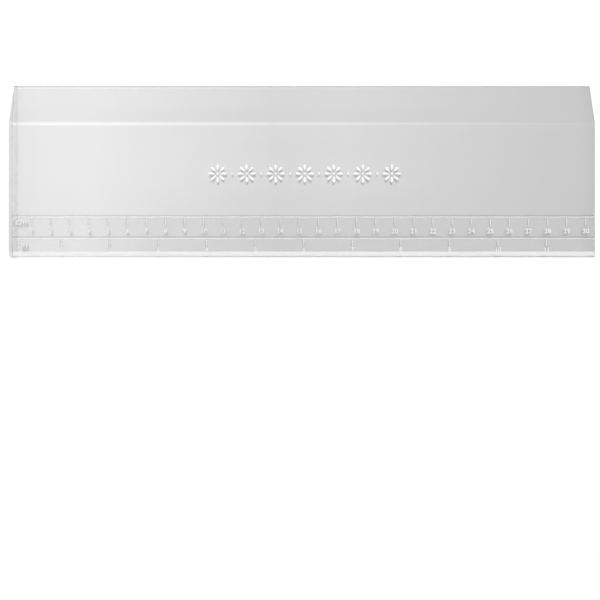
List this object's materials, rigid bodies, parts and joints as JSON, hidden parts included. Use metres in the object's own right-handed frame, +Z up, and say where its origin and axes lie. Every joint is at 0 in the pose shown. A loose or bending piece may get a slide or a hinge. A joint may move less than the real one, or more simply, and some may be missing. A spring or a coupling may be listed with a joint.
{
  "type": "icing smoother",
  "caption": "Clear plastic icing smoother: a long straight-edged plate bent into a handle flange, with a foot across one end and centimetre and inch scales.",
  "frame": {"origin": "centre of the bounding box, on the surface that the tool lies on", "axes": "+X along the tool from its zero end to its open end, +Y from the working edge to the handle flange, +Z up out of the marked front face"},
  "size_m": [0.3068, 0.091, 0.0182],
  "materials": {
    "clear_plastic": "clear, polished",
    "relief_marks": "pale, slightly frosted"
  },
  "bodies": {
    "root": {"blade": "clear_plastic", "end_foot": "clear_plastic", "centimetre_marks": "relief_marks", "inch_marks": "relief_marks"}
  },
  "joints": []
}
